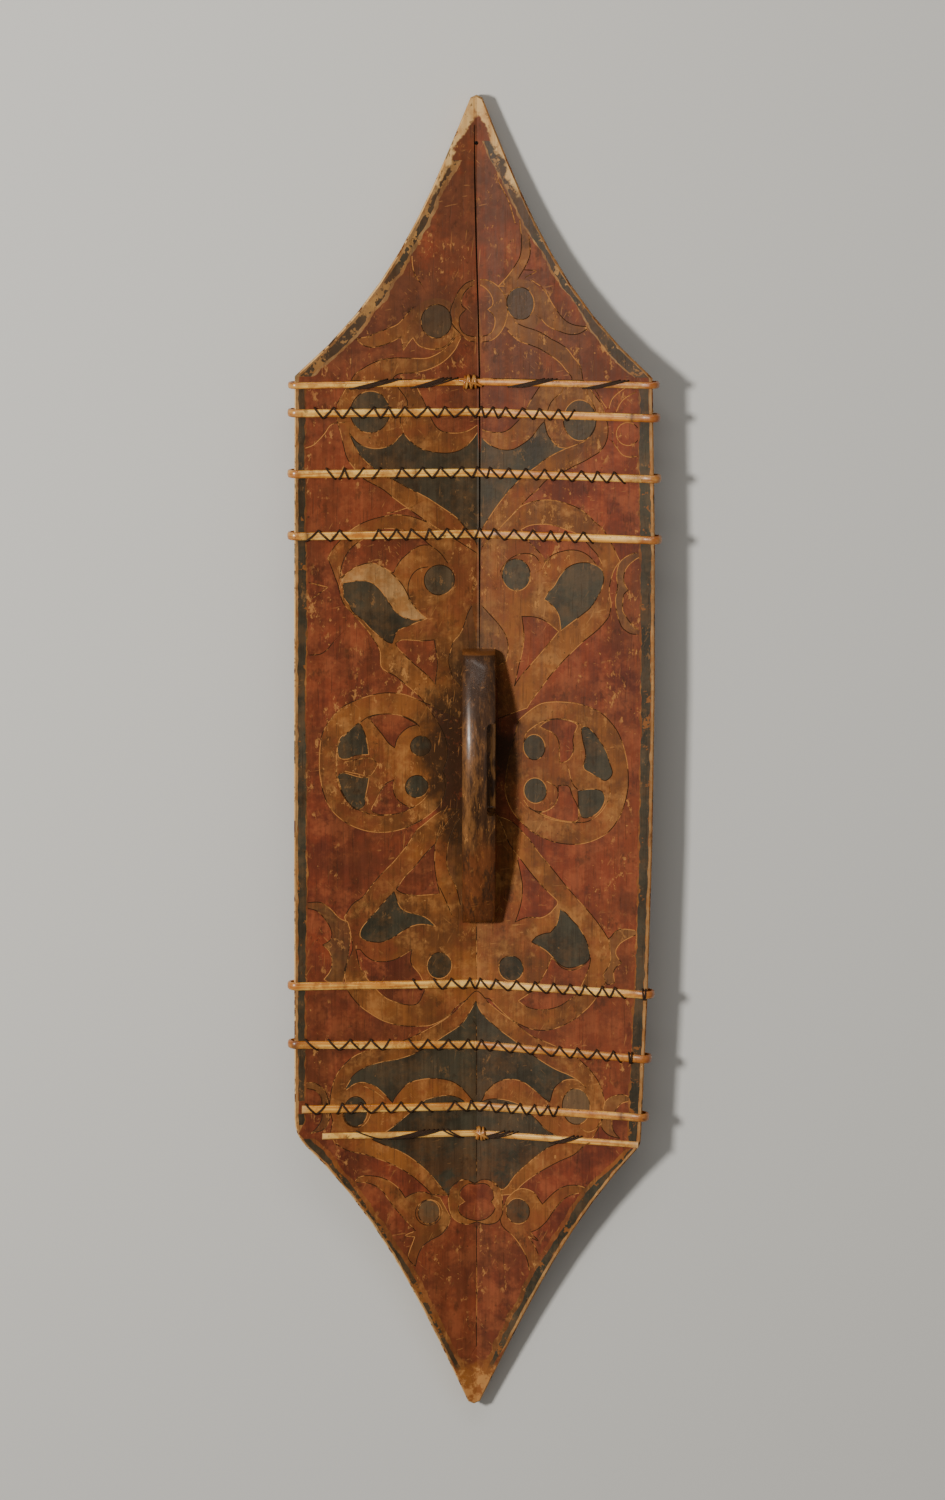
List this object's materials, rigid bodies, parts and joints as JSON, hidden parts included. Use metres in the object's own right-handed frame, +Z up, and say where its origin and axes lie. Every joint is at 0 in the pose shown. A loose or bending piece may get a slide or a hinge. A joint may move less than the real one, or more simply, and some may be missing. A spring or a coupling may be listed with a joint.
{
  "type": "dayak war shield",
  "caption": "Long plank war shield with pointed ends, a shallow V section and a carved grip, bound across with laced rattan bands.",
  "frame": {"origin": "under the middle of the overall box, on the surface that the shield lies on", "axes": "+X across the shield to the right as it is seen on its grip side with the upper tip up, +Y along its length towards the upper tip, +Z up, out of the hollow grip side"},
  "size_m": [0.36, 1.283, 0.0739],
  "materials": {
    "board": "worn red and black paint over carved light wood",
    "rattan": "split cane with a smooth golden skin",
    "fibre": "dull dark palm fibre thread"
  },
  "bodies": {
    "root": {"board": "board", "rattan_band_1": "rattan", "rattan_band_2": "rattan", "rattan_band_3": "rattan", "rattan_band_4": "rattan", "rattan_band_5": "rattan", "rattan_band_6": "rattan", "rattan_band_7": "rattan", "rattan_band_8": "rattan", "lacing_2": "fibre", "lacing_3": "fibre", "lacing_4": "fibre", "lacing_5": "fibre", "lacing_6": "fibre", "lacing_7": "fibre", "bundle_1_1": "fibre", "bundle_1_2": "fibre", "bundle_1_3": "fibre", "bundle_1_4": "fibre", "bundle_8_5": "fibre", "bundle_8_6": "fibre", "bundle_8_7": "fibre", "bundle_8_8": "fibre", "bundle_8_9": "fibre"}
  },
  "joints": []
}
